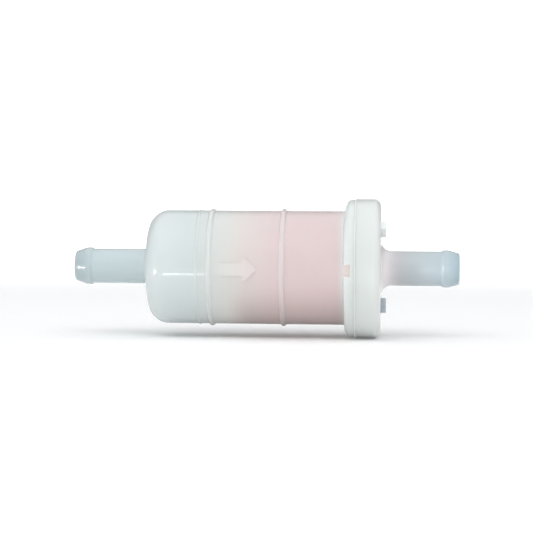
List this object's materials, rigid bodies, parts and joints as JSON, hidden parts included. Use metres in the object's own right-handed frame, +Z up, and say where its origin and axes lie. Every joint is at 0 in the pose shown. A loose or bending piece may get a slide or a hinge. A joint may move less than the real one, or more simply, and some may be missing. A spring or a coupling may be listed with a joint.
{
  "type": "in-line fuel filter",
  "caption": "Translucent in-line fuel filter: domed ribbed bowl with a raised flow arrow, welded flange and cap, pink pleated paper element inside, and a beaded hose end on each side.",
  "frame": {"origin": "on the filter's axis, half way between the two hose ends", "axes": "+X along the axis in the direction of flow, from the inlet to the outlet; -Y is the side with the raised flow arrow; +Z up"},
  "size_m": [0.096, 0.0348, 0.0348],
  "materials": {
    "natural_nylon": "satin",
    "cap_nylon": "satin",
    "weld_nylon": "satin",
    "element_nylon": "satin",
    "potting_adhesive": "gloss",
    "filter_paper": "matte",
    "seam_nylon": "satin",
    "nitrile_rubber": "matte"
  },
  "bodies": {
    "root": {"inlet_bowl": "natural_nylon", "outlet_cap": "cap_nylon", "weld_ring": "weld_nylon", "closed_end_disc": "element_nylon", "open_end_disc": "element_nylon", "closed_end_potting": "potting_adhesive", "open_end_potting": "potting_adhesive", "pleated_media": "filter_paper", "media_seam_strip": "seam_nylon", "support_core": "element_nylon", "element_neck_seal": "nitrile_rubber"}
  },
  "joints": []
}
